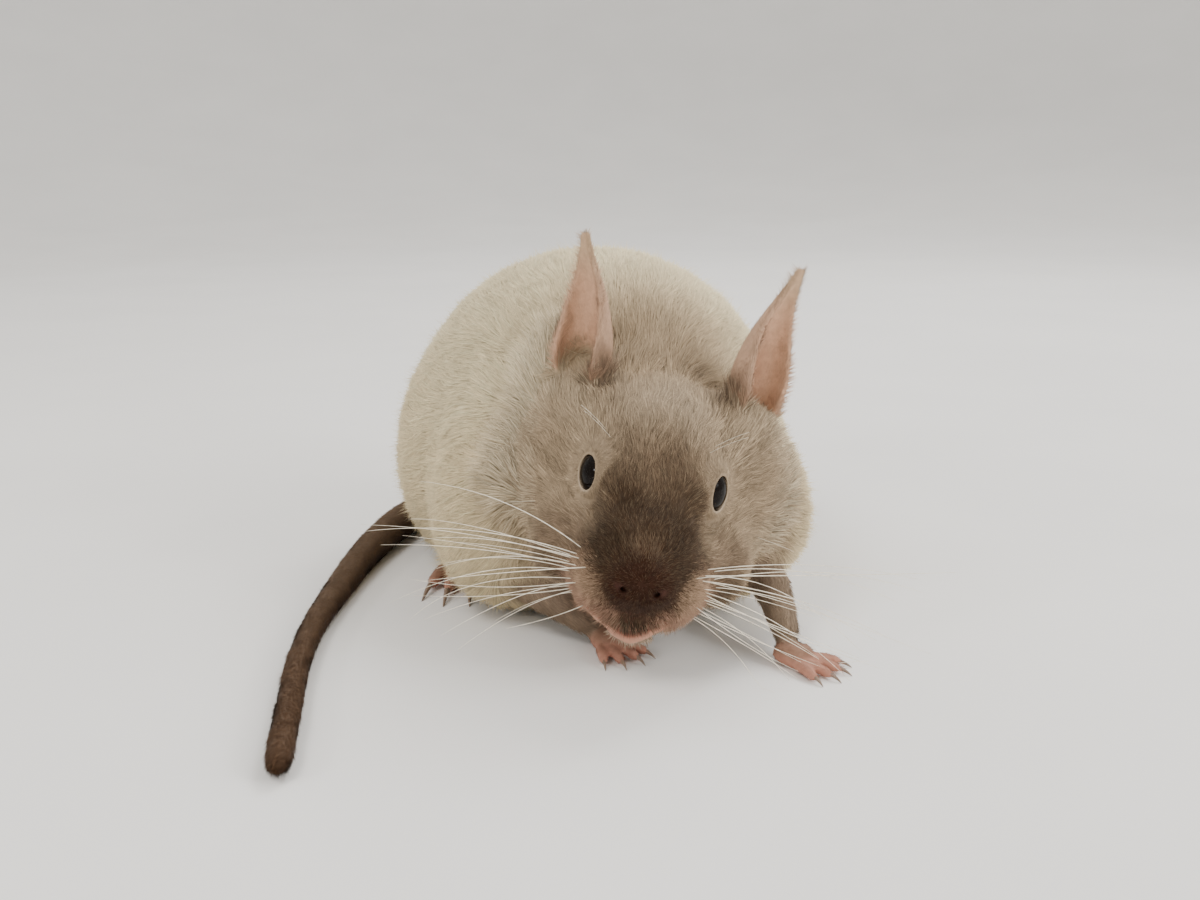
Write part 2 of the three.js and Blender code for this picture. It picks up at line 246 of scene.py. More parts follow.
def attribute(tree, name, output="Color"):
    return add(tree, "ShaderNodeAttribute", attribute_name=name).outputs[output]


def tint(tree, colour):
    node = add(tree, "ShaderNodeRGB")
    node.outputs[0].default_value = (*colour, 1)
    return node.outputs[0]


def set_base_colour(tree, shader, colour, factor):
    tree.links.new(product(tree, colour, factor), shader.inputs["Base Color"])


def skin_material():
    material, tree, shader = new_material("skin", Roughness=0.62, Specular_IOR_Level=0.16)
    set_base_colour(tree, shader, attribute(tree, "markings"), mottled(tree, 900, 4, 0.88, 1.1))
    pores = add(tree, "ShaderNodeBump")
    pores.inputs["Strength"].default_value = PORE_STRENGTH
    pores.inputs["Distance"].default_value = PORE_DEPTH
    tree.links.new(noise_on_object(tree, 2600, 3), pores.inputs["Height"])
    tree.links.new(pores.outputs["Normal"], shader.inputs["Normal"])
    return material


def coat_material():
    material, tree, shader = new_material(
        "coat", Roughness=0.75, Specular_IOR_Level=0.08, Sheen_Weight=0.04, Sheen_Roughness=0.5)
    along = ranged(tree, attribute(tree, "along", "Fac"), 0, 1, 0.84, 1.1)
    marked = product(tree, attribute(tree, "markings"), along)
    set_base_colour(tree, shader, marked, mottled(tree, 500, 3, 0.94, 1.06))
    return material


def eye_material():
    material, tree, shader = new_material("eye", Roughness=0.03, Specular_IOR_Level=0.08)
    set_base_colour(tree, shader, tint(tree, EYE_BROWN), mottled(tree, 300, 2, 0.6, 1.4, 0.2, 0.8))
    return material


def horn_material(name, colour, roughness):
    material, tree, shader = new_material(name, Roughness=roughness)
    set_base_colour(tree, shader, tint(tree, colour), mottled(tree, 1500, 2, 0.8, 1.15))
    return material


# Meshes

def new_object(name, mesh, material, slot=None):
    """A piece of one material, on the animal if it has a slot."""
    piece = new_in_scene(name, mesh)
    mesh.materials.clear()
    mesh.materials.append(material)
    if slot:
        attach(piece, BODY)
    return piece


def applied(piece):
    """The mesh of an object with its modifiers applied."""
    depsgraph = bpy.context.evaluated_depsgraph_get()
    mesh = bpy.data.meshes.new_from_object(piece.evaluated_get(depsgraph))
    bpy.data.objects.remove(piece)
    return mesh


def mesh_from(bm, name):
    """The smooth shaded mesh of finished bmesh work."""
    mesh = bpy.data.meshes.new(name)
    bm.to_mesh(mesh)
    bm.free()
    mesh.shade_smooth()
    return mesh


def numbers(collection, name, width, kind=float):
    """One property of all of a mesh's items, as an array with width columns."""
    values = np.empty(len(collection) * width, np.float32 if kind is float else np.int32)
    collection.foreach_get(name, values)
    return values.reshape(-1, width) if width > 1 else values


def set_attribute(mesh, name, values, kind="FLOAT"):
    layer = mesh.attributes.new(name, kind, "POINT")
    key = "value" if kind == "FLOAT" else "color"
    layer.data.foreach_set(key, np.ascontiguousarray(values, np.float32).ravel())


# Whiskers and claws, whose coarse forms are drawn in before the skin is made

WHISKER_LENGTH = 50
WHISKER_SUNK = 1.5
WHISKER_DROOP = 0.1  # of the length, at the tip
WHISKER_STUB = 0.15  # share of the length that stays in the pad
WHISKER_FRONT = 0.6  # share of the length at the front of a row
WHISKER_SHORTER = 0.3  # share of it lost in the lowest row
# On the left side: the front of the top row, and what is added at the back and at the bottom
WHISKER_ROOTS = np.array([(8.6, -16, -8), (1.4, 4.4, 0), (-1.6, 0, -6)])
WHISKER_WAYS = np.array([(1, -0.42, 0.26), (0, 0.6, 0), (0, 0, -0.46)])
SOLID_ROWS = 4  # of the solids' own whiskers
SOLID_COLUMNS = 2
SOLID_STAGGER = 0.4  # of a column, on every second row
SOLID_REACH = 0.7 * MM  # round a whisker's line
BODY_YAW = 8
BODY_AT = (1.2, 0, 0)
Paw = namedtuple("Paw", "length width toes toe_length toe_radius splay")
FOREPAW = Paw(13, 5.8, 4, 5.8, 0.9, 0.8)
HIND_FOOT = Paw(35, 8, 4, 12, 1.35, 0.45)
TOE_ROOT = 0.72  # share of the palm's length and width at which the toes spring
TOE_OVER_PALM = 0.28  # share of the palm that a toe runs over
TOE_SHORTER = 0.7  # at the square of a toe's place away from the middle
TOE_HEIGHT = 1.15  # of its radius
CLAW_LENGTH = 0.42  # of its toe
CLAW_RADIUS = 0.5  # of its toe's
CLAW_SUNK = 1
PAWS = {
    "forepaw_left": (FOREPAW, placed((31.5, -41.5, 0), (0, 0, 52))),
    "forepaw_right": (FOREPAW, placed((-0.8, -33, 0), (0, 0, 30))),
}
for side, name in SIDES:
    place = placed(BODY_AT, (0, 0, BODY_YAW)) @ placed((side * 27, 28, 0), (0, 0, side * 7))
    PAWS["hindfoot_" + name] = (HIND_FOOT, place)


def whisker_line(side, down, back, shares, stretch=1.0, stray=(0, 0, 0)):
    """Points along a whisker, in metres. down and back, 0 to 1, say where on its pad it springs."""
    root, way = ((first + to_back * back + to_bottom * down) * (side, 1, 1)
                 for first, to_back, to_bottom in (WHISKER_ROOTS, WHISKER_WAYS))
    way = turned_by_head(unit(unit(way) + stray))
    length = WHISKER_LENGTH * (WHISKER_FRONT + (1 - WHISKER_FRONT) * back)
    length = length * (1 - WHISKER_SHORTER * down) * stretch * MM
    line = from_head(root) - way * WHISKER_SUNK * MM + way * length * shares[:, None]
    line[:, 2] -= WHISKER_DROOP * length * shares ** 2
    return line


def on_whiskers(points):
    """For each of the solids' own whiskers, which points of the head are on it."""
    shares = np.linspace(0, 1, 50)
    for side in (LEFT, RIGHT):
        for row in range(SOLID_ROWS):
            for column in range(SOLID_COLUMNS):
                back = (column + SOLID_STAGGER * (row % 2)) / (SOLID_COLUMNS - 1 + SOLID_STAGGER)
                line = whisker_line(side, row / (SOLID_ROWS - 1), back, shares)
                stretch = line[shares > WHISKER_STUB]
                yield np.linalg.norm(points[:, None] - stretch, axis=2).min(axis=1) < SOLID_REACH


def claw_roots(name):
    """The root, way, length and radius of each claw of a paw, in metres."""
    sizes, place = PAWS[name]
    toes, radius = sizes.toes, sizes.toe_radius
    palm = sizes.length - sizes.toe_length
    for toe in range(toes):
        spread = (toe - (toes - 1) / 2) / (toes - 1)
        reach = (sizes.toe_length + palm * TOE_OVER_PALM) * (1 - TOE_SHORTER * spread ** 2)
        turn = spread * sizes.splay
        way = Vector((math.sin(turn), -math.cos(turn), 0))
        base = Vector((spread * sizes.width * TOE_ROOT, -palm * TOE_ROOT, radius * TOE_HEIGHT))
        root = place @ ((base + way * (reach - CLAW_SUNK)) * MM)
        length = sizes.toe_length * CLAW_LENGTH * MM
        yield root, place.to_3x3() @ way, length, radius * CLAW_RADIUS * MM


CLAW_SHOWS = 1.3 * MM  # from a claw's root to where it leaves the toe
CLAW_SIDE = 1.2 * MM
CLAW_PAST = 1.2  # of its length, where its tip surely ends


def on_claws(name, points):
    """For each of the solids' own claws, which points of the paw are on it."""
    for root, way, length, _ in claw_roots(name):
        offset = points - np.array(root)
        along = offset @ np.array(way)
        aside = np.linalg.norm((offset - along[:, None] * np.array(way))[:, :2], axis=1)
        yield (along > CLAW_SHOWS) & (along < length * CLAW_PAST) & (aside < CLAW_SIDE)


# Skin

REGIONS = {
    "body": ["torso", "thigh_left", "thigh_right", "neck", "forearm_left", "forearm_right"],
    "head": ["head"],
    "ear": ["ear_left", "ear_right"],
    "paw": ["forepaw_left", "forepaw_right", "hindfoot_left", "hindfoot_right"],
    "tail": ["tail_base", "tail_middle", "tail_end"],
}
FLESH = [name for names in REGIONS.values() for name in names]
SEAM_GROWTH = 0.22 * MM  # closes the gaps between the nodes
MERGE = 1e-6
SKIN_VOXEL = 0.38 * MM
SKIN_FACES = 150000
CLEAR_OF_FLOOR = 0.0001
REGION_BLUR = 12  # rounds of smoothing over the edges between regions
DEPTH_BLUR = 10
FUR_ROUNDS = 60
NAPE_ROUNDS = 160
LAST_ROUNDS = 3


def flesh_copy(name, growth):
    """A node's own solid, merged and grown outwards a little, its whiskers and claws drawn in."""
    piece = bmesh.new()
    piece.from_mesh(NODES[name].data)
    bmesh.ops.remove_doubles(piece, verts=piece.verts, dist=MERGE)
    piece.normal_update()
    points = np.array([vertex.co + vertex.normal * growth for vertex in piece.verts])
    edges = np.array([[vertex.index for vertex in edge.verts] for edge in piece.edges])
    spines = on_whiskers(points) if name == "head" else on_claws(name, points) if name in PAWS else ()
    for spine in [chosen for chosen in spines if chosen.any()]:
        leaving = edges[spine[edges[:, 0]] != spine[edges[:, 1]]]
        rim = np.where(spine[leaving[:, 0]], leaving[:, 1], leaving[:, 0])
        points[spine] = points[rim].mean(axis=0)
    for vertex, point in zip(piece.verts, points):
        vertex.co = point
    return piece


def flesh_meshes(growth):
    """The name and the grown mesh of each node that the skin covers."""
    for name in FLESH:
        yield name, mesh_from(flesh_copy(name, growth), name)


def joined_flesh():
    """All of them in one mesh, overlapping where they meet."""
    whole = bmesh.new()
    for _, mesh in flesh_meshes(SEAM_GROWTH):
        whole.from_mesh(mesh)
        bpy.data.meshes.remove(mesh)
    return mesh_from(whole, "flesh")


def region_of(points):
    """The region of each point, as the index in REGIONS of the nearest node."""
    whole = bmesh.new()
    regions = []
    for name, mesh in flesh_meshes(0):
        whole.from_mesh(mesh)
        index = next(i for i, names in enumerate(REGIONS.values()) if name in names)
        regions += [index] * len(mesh.polygons)
        bpy.data.meshes.remove(mesh)
    tree = BVHTree.FromBMesh(whole)
    found = np.array([regions[tree.find_nearest(point)[2]] for point in points.tolist()])
    whole.free()
    return found


class Neighbours:
    """Averages over a mesh's edges."""

    def __init__(self, mesh):
        edges = numbers(mesh.edges, "vertices", 2, int)
        self.start = np.concatenate([edges[:, 0], edges[:, 1]])
        self.end = np.concatenate([edges[:, 1], edges[:, 0]])
        self.count = len(mesh.vertices)
        self.degree = np.maximum(np.bincount(self.start, minlength=self.count), 1)

    def mean(self, values):
        if values.ndim == 1:
            return np.bincount(self.start, values[self.end], self.count) / self.degree
        return np.stack([self.mean(column) for column in values.T], axis=-1)

    def smoothed(self, values, rounds, weight=0.5):
        share = weight if np.ndim(weight) == 0 or values.ndim == 1 else weight[:, None]
        for _ in range(rounds):
            values = values + (self.mean(values) - values) * share
        return values


# Places on the animal, in the head's frame, and the ends of its forearms in the world's
NOSE_AT = (0, -21.5, -6.6)
NOSE_SIZE = (6.4, 6, 6.2)
NOSTRIL_AT = (3.1, -21.6, -6)
MOUTH_AT = (-1, -18.2, -17.2)
MOUTH_CURVE = 0.055  # millimetres up for each square millimetre aside
MOUTH_GROOVE = 0.9  # half of the groove's width
EAR_FRONT = (11.5, 15.5, 12.5)
EAR_BASE = (15.5, 14, 6)
RUFF_FOLDS = [(17, 1.0), (11.5, 0.35)]  # y less z, and strength
RUFF_WIDTH = 2.8
ARMS = [((31.5, -31, 11), (34, -43.4, 2.8)), ((-13, -28, 10), (1, -36, 2.8))]
ARM_RADII = (7, 11.5)  # all arm inside the first, none outside the second


def sided(head):
    """Points in the head's frame, with its right side folded over its left."""
    return np.column_stack([np.abs(head[:, 0]), head[:, 1], head[:, 2]])


def eye_distance(head):
    """Millimetres to the nearer eyeball's surface."""
    return np.linalg.norm(sided(head) - eye_centre(), axis=1) - EYE_RADIUS


def nose_reach(head):
    """Distance from the middle of the nose, where 1 is the edge of its dark pad."""
    return np.linalg.norm((head - np.array(NOSE_AT)) / np.array(NOSE_SIZE), axis=1)


def over_mouth(head):
    """Millimetres above the line between the lips, and how far inside the mouth's width, 0 to 1."""
    aside = head[:, 0] - MOUTH_AT[0]
    height = head[:, 2] - MOUTH_AT[2] - MOUTH_CURVE * aside ** 2
    return height, (1 - step(np.abs(aside), 6, 8.5)) * step(-head[:, 1], 9, 14)


def mouth_line(head):
    """1 in the groove between the lips, 0 away from it."""
    height, within = over_mouth(head)
    return (1 - step(np.abs(height), 0, MOUTH_GROOVE)) * within


def arm_share(world):
    """1 on the forearms, 0 elsewhere, for world points in millimetres."""
    nearest = np.full(len(world), np.inf)
    for elbow, wrist in ARMS:
        elbow, wrist = np.array(elbow, float), np.array(wrist, float)
        along = np.clip((world - elbow) @ (wrist - elbow) / ((wrist - elbow) ** 2).sum(), 0, 1)
        gap = np.linalg.norm(world - elbow - along[:, None] * (wrist - elbow), axis=1)
        nearest = np.minimum(nearest, gap + 3 * (1 - along))
    return 1 - step(nearest, *ARM_RADII)


def ruff(head):
    """1 along the folds of fur behind each cheek, 0 away from them."""
    side = sided(head)
    across = side[:, 1] - side[:, 2] + 1.2 * waves(head, 9, 51)
    folds = np.zeros(len(head))
    for behind, strength in RUFF_FOLDS:
        folds = np.maximum(folds, strength * (1 - step(np.abs(across - behind), 0, RUFF_WIDTH)))
    folds *= step(side[:, 0], 16, 20)
    return folds * step(-head[:, 2], -18, -11) * step(head[:, 2], -17, -10)


# How far the skin lies inside the coat's tips, in millimetres
BODY_DEPTH = 2.3
ARM_DEPTH_LESS = 1.3
FACE_DEPTH = 0.35
CROWN_DEPTH_MORE = 1.35
TAIL_DEPTH = 0.5
RUFF_OUT = 1.7
LIPS_OUT = 1.8
GROOVE_IN = 1.3
LIPS_SIZE = (11, 9, 6)


def coat_depth(points, weights):
    """How far the skin lies inside the tips of the coat, in millimetres."""
    head = in_head(points)
    body, face, _, _, tail = weights.T
    back = step(head[:, 1], -16, 16)
    nostrils = step(np.linalg.norm(sided(head) - NOSTRIL_AT, axis=1), 1.5, 4)
    on_face = (FACE_DEPTH + CROWN_DEPTH_MORE * back) * step(eye_distance(head), 0.6, 4) * nostrils
    furry = body * (BODY_DEPTH - ARM_DEPTH_LESS * arm_share(points / MM))
    lips = LIPS_OUT * bump(head, MOUTH_AT, LIPS_SIZE) - GROOVE_IN * mouth_line(head)
    folds = RUFF_OUT * ruff(head) * (body + face)
    return furry + face * on_face + tail * TAIL_DEPTH - folds - lips * face


LID_OPEN = 3.2  # radius of the gap between the lids, seen the way the eye looks
LID_BEFORE = 3.1  # that radius as it grows from the solids
LID_REACH = 7.0  # radius of the skin that moves
LID_FLAT = 0.6  # share of the lids' height over the eyeball taken off at their rim


def opened_lids(points):
    """Draws the skin back round each eye, so that its lids lie at the eyeball's rim."""
    head = in_head(points)
    for side in (LEFT, RIGHT):
        centre = eye_centre(side)
        looks = unit(np.array([side * EYE_FACES[0], *EYE_FACES[1:]]))
        offset = head - centre
        ahead = offset @ looks
        across = offset - ahead[:, None] * looks
        radius = np.linalg.norm(across, axis=1)
        share = np.clip((LID_REACH - radius) / (LID_REACH - LID_BEFORE), 0, 1)
        front = step(ahead, 0.5, 2.5)
        wider = radius + (LID_OPEN - LID_BEFORE) * share * front
        head = centre + ahead[:, None] * looks + across * (wider / np.maximum(radius, 1e-6))[:, None]
        out = np.linalg.norm(head - centre, axis=1)
        over = np.maximum(out - EYE_SHOWN, 0) * LID_FLAT * share * front
        head = centre + (head - centre) * ((out - over) / out)[:, None]
    return from_head(head)


NAPE_SMOOTHED = ((9, -27, 52), (24, 18, 14))  # centre and half-sizes, in millimetres


def make_skin():
    """One surface over the flesh, drawn in by the depth of the coat."""
    rough = new_in_scene("rough_skin", joined_flesh())
    remesh = rough.modifiers.new("voxels", "REMESH")
    remesh.mode = "VOXEL"
    remesh.voxel_size = SKIN_VOXEL
    mesh = applied(rough)

    points = numbers(mesh.vertices, "co", 3).astype(float)
    near = Neighbours(mesh)
    weights = near.smoothed(np.eye(len(REGIONS))[region_of(points)], REGION_BLUR)
    behind_face = step(in_head(points)[:, 1], -8, 8)
    furry = np.clip(weights[:, 0] + weights[:, 4] * 0.5 + weights[:, 1] * behind_face * 0.8, 0, 1)
    fine = np.clip(weights[:, 1:4].sum(axis=1), 0, 1)
    points = near.smoothed(points, FUR_ROUNDS, furry * 0.5)
    nape = bump(points / MM, *NAPE_SMOOTHED) * (1 - weights[:, 2])
    points = near.smoothed(points, NAPE_ROUNDS, np.minimum(nape * 2, 1) * 0.5)
    points = near.smoothed(points, LAST_ROUNDS, 0.15 + 0.35 * fine)
    mesh.vertices.foreach_set("co", points.astype(np.float32).ravel())
    mesh.update()
    normals = unit(near.smoothed(numbers(mesh.vertices, "normal", 3), DEPTH_BLUR))
    depth = near.smoothed(coat_depth(points, weights), DEPTH_BLUR) * MM
    points = opened_lids(points - normals * depth[:, None])
    points[:, 2] = np.maximum(points[:, 2], CLEAR_OF_FLOOR)
    mesh.vertices.foreach_set("co", points.astype(np.float32).ravel())
    mesh.update()
    return mesh


def decimated(mesh, faces):
    """The mesh with about so many triangles."""
    piece = new_in_scene("thinned", mesh)
    piece.modifiers.new("triangles", "TRIANGULATE")
    thin = piece.modifiers.new("thin", "DECIMATE")
    thin.ratio = faces / (2 * len(mesh.polygons))
    return applied(piece)


def unwrapped(piece, name):
    """Lays the piece out on a UV map of its own shape."""
    piece.data.uv_layers.new(name=name)
    bpy.context.view_layer.objects.active = piece
    piece.select_set(True)
    bpy.ops.object.mode_set(mode="EDIT")
    bpy.ops.mesh.select_all(action="SELECT")
    bpy.ops.uv.smart_project(angle_limit=math.radians(66), island_margin=0.001)
    bpy.ops.object.mode_set(mode="OBJECT")
    piece.select_set(False)


# Markings, with painted light and shade

# painted light: the top of the body lighter, as lit from above
LIT_BACK = srgb(220, 204, 166)
FLANK = srgb(216, 197, 158)
NAPE = srgb(180, 161, 131)
CROWN = srgb(152, 132, 106)
TICKING = srgb(200, 184, 152)  # the pale tips among the darker hair
FOREHEAD = srgb(150, 132, 109)
TEMPLE = srgb(166, 148, 123)
BROW = srgb(98, 81, 64)
BRIDGE = srgb(56, 41, 28)
UNDER_EYE = srgb(158, 143, 124)
# a painted highlight on the top of the nose
NOSE_HIGHLIGHT = srgb(100, 82, 65)
CHEEK = srgb(150, 131, 107)
# painted shade on the cheek below each eye
CHEEK_SHADE = srgb(114, 96, 79)
PAD = srgb(150, 124, 101)
UPPER_LIP = srgb(156, 122, 102)
NOSE = srgb(46, 23, 9)
NOSTRIL = srgb(62, 34, 26)
MUZZLE_LIP = srgb(84, 54, 40)
LIP = srgb(170, 112, 92)
MOUTH = srgb(74, 36, 26)
LIP_LINE = srgb(192, 146, 124)
THROAT = srgb(204, 178, 152)
EYE_RING = srgb(186, 168, 146)
EAR_BACK = srgb(186, 152, 126)
EAR_CUP = srgb(206, 164, 134)
# painted shade deep in the ear's cup
EAR_CUP_SHADE = srgb(132, 86, 62)
EAR_LOBE = srgb(158, 116, 88)
EAR_TIP = srgb(180, 154, 124)
EAR_TUFT = srgb(84, 68, 54)
# painted light on the crests of the folds behind the cheeks
RUFF_HIGHLIGHT = srgb(214, 200, 172)
# painted shade on the neck and chest under the jaw
JAW_SHADE = srgb(132, 110, 88)
# painted shade on the forearms, under the head and chest
FOREARM_SHADE = srgb(132, 112, 96)
PAW_TOP = srgb(150, 116, 96)
PAW_SKIN = srgb(190, 136, 116)
TAIL_TOP = srgb(112, 92, 74)
TAIL_TIP = srgb(86, 65, 48)
# painted shade on the underside of the tail, where it lies on the floor
TAIL_FLOOR_SHADE = srgb(66, 46, 30)
SKIN_SHADE = 0.92  # of the coat's own colour

# Centre and half-sizes of markings and of painted shade and highlight, in the head's frame
# where shade is painted on the cheek below each eye
CHEEK_SHADE_SPOT = ((13.5, -7, -8.5), (10, 9, 7))
UNDER_EYE_SPOT = ((9.3, -4, -5), (3.6, 4, 3))
# where a highlight is painted on the top of the nose
NOSE_HIGHLIGHT_SPOT = ((-1.2, -19.5, 0.2), (7, 5, 1.7))
PAD_SPOT = ((9.2, -16, -11), (7.5, 9.5, 8))
MUZZLE_LIP_SPOT = ((0, -20.5, -13.4), (4, 5, 3))
CHEEK_SPOT = ((0, 6, -6), (27, 24, 20))
# where shade is painted under the jaw
JAW_SHADE_SPOT = ((0, -2, -20), (26, 26, 22))
# and in the world's
NAPE_SPOT = ((9, -22, 50), (34, 40, 28))
CROWN_SPOT = ((9, -26, 52), (22, 24, 22))


def face_colours(head):
    """The head's markings, in its own frame, with painted shade below the eyes and a painted
    highlight on the nose.
    """
    side = sided(head)
    y = head[:, 1] + 1.2 * waves(head, 4, 11)
    colour = mixed(BRIDGE, BROW, step(y, -14, -4))
    colour = mixed(colour, FOREHEAD, step(y, -5.5, 4.5))
    colour = mixed(colour, CROWN, step(y, 8, 18))
    aside = side[:, 0] + 0.9 * waves(head, 3, 12)
    colour = mixed(colour, CHEEK, step(aside, 5, 12.5) * step(y, -13, -5))
    colour = mixed(colour, TEMPLE, step(aside, 9, 15) * step(head[:, 2], 0, 9) * 0.8)
    # Painted shade on the cheek below each eye.
    cheek_shade = bump(side, *CHEEK_SHADE_SPOT) + 0.15 * waves(head, 3, 15)
    colour = mixed(colour, CHEEK_SHADE, step(cheek_shade, 0.1, 0.8) * 0.8)
    colour = mixed(colour, UNDER_EYE, bump(side, *UNDER_EYE_SPOT) * 0.55)
    # A painted highlight along the top of the nose.
    edge = bump(head, *NOSE_HIGHLIGHT_SPOT) + 0.1 * waves(head, 1.5, 16)
    colour = mixed(colour, NOSE_HIGHLIGHT, step(edge, 0.1, 0.9) * 0.6)
    pads = bump(side, *PAD_SPOT) + 0.1 * waves(head, 2, 14)
    colour = mixed(colour, PAD, step(pads, 0.05, 0.65))
    beside = step(-head[:, 2], 9.5, 13) * step(side[:, 0] + 0.5 * waves(head, 1.5, 17), 1.5, 4.5)
    colour = mixed(colour, UPPER_LIP, beside * step(-head[:, 1], 10, 15) * 0.85)
    colour = mixed(colour, THROAT, step(-head[:, 2], 14, 20) * 0.7)
    tufts = np.minimum(bump(side, EAR_FRONT, (5.5, 7.5, 7.5)) * 2, 1)
    colour = mixed(colour, EAR_TUFT, tufts * 0.85)
    colour = mixed(colour, NOSE, 1 - step(nose_reach(head) + 0.06 * waves(head, 1.5, 13), 0.7, 1.15))
    return colour


def bare_face_colours(head):
    """What shows where the coat leaves the head's skin bare."""
    colour = face_colours(head)
    side = sided(head)
    colour = mixed(colour, NOSTRIL, bump(side, NOSTRIL_AT, (2, 2.4, 1.8)))
    colour = mixed(colour, MUZZLE_LIP, step(bump(head, *MUZZLE_LIP_SPOT), 0, 0.5) * 0.8)
    height, within = over_mouth(head)
    colour = mixed(colour, LIP, within * step(height, -2.6, -1.6) * (1 - step(height, 1.5, 2.6)))
    colour = mixed(colour, LIP_LINE, within * (1 - step(np.abs(height + 1.6), 0.4, 1.1)) * 0.8)
    colour = mixed(colour, MOUTH, mouth_line(head) * 0.85)
    return colour


def body_colours(head, world):
    """The markings of the torso, thighs, neck and forearms, with painted light along the back and
    painted shade under the jaw and on the forearms. world is in millimetres.
    """
    # Painted light: lighter towards the top of the body, as light falls from above.
    colour = mixed(FLANK, LIT_BACK, step(world[:, 2] + 3 * waves(world, 14, 21), 22, 52))
    colour = mixed(colour, NAPE, np.minimum(bump(world, *NAPE_SPOT) * 1.7, 1))
    colour = mixed(colour, CROWN, np.minimum(bump(world, *CROWN_SPOT) * 1.6, 1) * 0.9)
    reach = np.linalg.norm((head - np.array(CHEEK_SPOT[0])) / np.array(CHEEK_SPOT[1]), axis=1)
    colour = mixed(colour, CHEEK, (1 - step(reach, 0.9, 1.35)) * 0.8)
    # Painted shade under the jaw.
    colour = mixed(colour, JAW_SHADE, np.minimum(bump(head, *JAW_SHADE_SPOT) * 1.5, 1))
    tufts = np.minimum(bump(sided(head), EAR_FRONT, (6, 9, 8)) * 2, 1)
    colour = mixed(colour, EAR_TUFT, tufts * 0.8)
    # Painted shade on the forearms, under the head and chest.
    return mixed(colour, FOREARM_SHADE, arm_share(world) * 0.9)


def ear_colours(points):
    """The markings of the ears, with painted shade deep in their cups, for points in metres."""
    share, across, inside = in_ear_cup(points)
    mottle = 0.5 + 0.5 * waves(points / MM, 1.6, 22)
    # Painted shade deep in the cup, mottled.
    cup_shade = (1 - step(np.abs(across - 0.1), 0, 0.5)) * step(-share, -0.75, -0.3)
    colour = mixed(EAR_BACK, EAR_CUP, inside)
    colour = mixed(colour, EAR_CUP_SHADE, np.clip(cup_shade * inside * (0.55 + 0.45 * mottle), 0, 1))
    colour = mixed(colour, EAR_TIP, step(share, 0.7, 0.95) * 0.7)
    colour = mixed(colour, EAR_LOBE, (1 - step(share, 0.1, 0.4)) * 0.75)
    front = bump(sided(in_head(points)), EAR_FRONT, (4.5, 6, 5.5))
    return mixed(colour, EAR_TUFT, np.minimum(front * 1.3, 1) * 0.7)


def markings(points, weights):
    """The coat's colour at points on the skin, in metres, with its painted light and shade."""
    head, world = in_head(points), points / MM
    body, face, ear, paw, tail = (weights / weights.sum(axis=1, keepdims=True)).T[..., None]
    paws = mixed(PAW_SKIN, PAW_TOP, step(world[:, 2], 1, 3.5))
    tails = mixed(TAIL_TOP, TAIL_TIP, step(-world[:, 1], -20, 70))
    # Painted shade low on the tail, where it lies on the floor.
    tails = mixed(TAIL_FLOOR_SHADE, tails, step(world[:, 2], 2.2, 4.4))
    colour = (body * body_colours(head, world) + face * face_colours(head)
              + ear * ear_colours(points) + paw * paws + tail * tails)
    # Painted light: paler along the folds behind the cheeks, where their crests catch the light.
    pale = ruff(head) * 0.6 * (body + face)[:, 0] * (1 - arm_share(world))
    return mixed(colour, RUFF_HIGHLIGHT, pale)


def dressed_skin():
    """The skin as a piece with its markings and bake map, and its region weights."""
    mesh = decimated(make_skin(), SKIN_FACES)
    points = numbers(mesh.vertices, "co", 3).astype(float)
    near = Neighbours(mesh)
    weights = near.smoothed(np.eye(len(REGIONS))[region_of(points)], 4)
    head = in_head(points)
    colour = markings(points, weights) * SKIN_SHADE
    colour = mixed(colour, bare_face_colours(head), weights[:, 1] * step(-head[:, 1], 10, 14))
    rim = 1 - step(eye_distance(head), 0.45, 0.75)
    colour = mixed(colour, EYE_RING, rim * (0.1 + 0.6 * step(EYE_HEIGHT - head[:, 2], -1, 3)))
    set_attribute(mesh, "markings", np.column_stack([colour, np.ones(len(colour))]), "FLOAT_COLOR")
    mesh.name = "skin"
    mesh.shade_smooth()
    skin = new_object("skin", mesh, skin_material(), "coat")
    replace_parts(skin, *FLESH)
    unwrapped(skin, "OFBake")
    return skin, weights


# Lie of the coat

TAIL_PATH = [(-15, 45, 12), (-30, 50, 6), (-42, 40, 4.2), (-49, 20, 3.6), (-53, -10, 2.25),
             (-53.5, -40, 2.25), (-50, -68, 2.25), (-47, -88, 2.25)]
FACE_HAIR_FROM = (0, -24, -4)  # in the head's frame
BODY_HAIR_FROM = (9, -52, 40)
SLOPE_BACK = -0.5  # of the body's hair, towards the floor


def nearest_way(points, path):
    """For each point, the direction of the path's nearest stretch."""
    path = np.array(path, float)
    ways = unit(np.diff(path, axis=0))
    middles = (path[1:] + path[:-1]) / 2
    nearest = np.linalg.norm(points[:, None] - middles[None], axis=2).argmin(axis=1)
    return ways[nearest]


